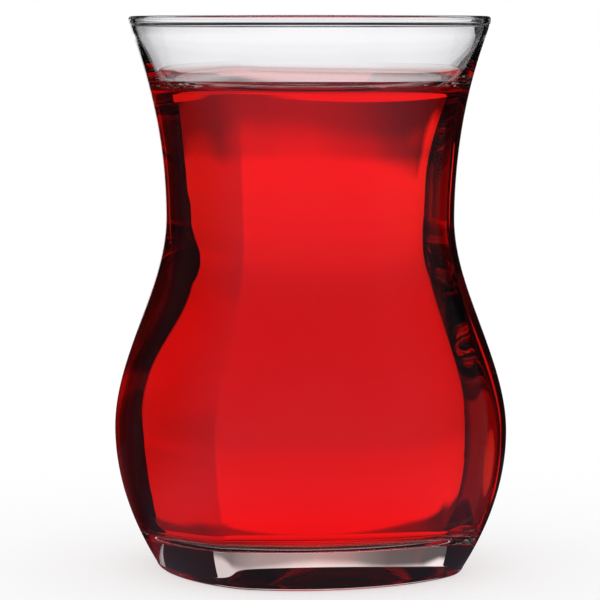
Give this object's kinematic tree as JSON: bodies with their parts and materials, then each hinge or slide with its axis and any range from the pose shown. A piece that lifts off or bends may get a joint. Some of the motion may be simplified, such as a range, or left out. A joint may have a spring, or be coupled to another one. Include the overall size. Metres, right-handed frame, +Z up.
{
  "type": "turkish tea glass",
  "caption": "Waisted Turkish tea glass with a round mouth, a soft square four-panel belly and a thick clear foot, filled with red tea.",
  "frame": {"origin": "centre of the foot's underside, on the glass's axis", "axes": "+Z up along the glass's axis; -Y points to the picture's camera; the front panel faces 19.8 degrees to the +X side of -Y, and the upright ridges lie 45 degrees to each side of each panel's middle"},
  "size_m": [0.0598, 0.0598, 0.084],
  "materials": {
    "clear_glass": "clear, polished",
    "red_tea": "clear red liquid"
  },
  "bodies": {
    "root": {"glass": "clear_glass", "tea": "red_tea"}
  },
  "joints": []
}
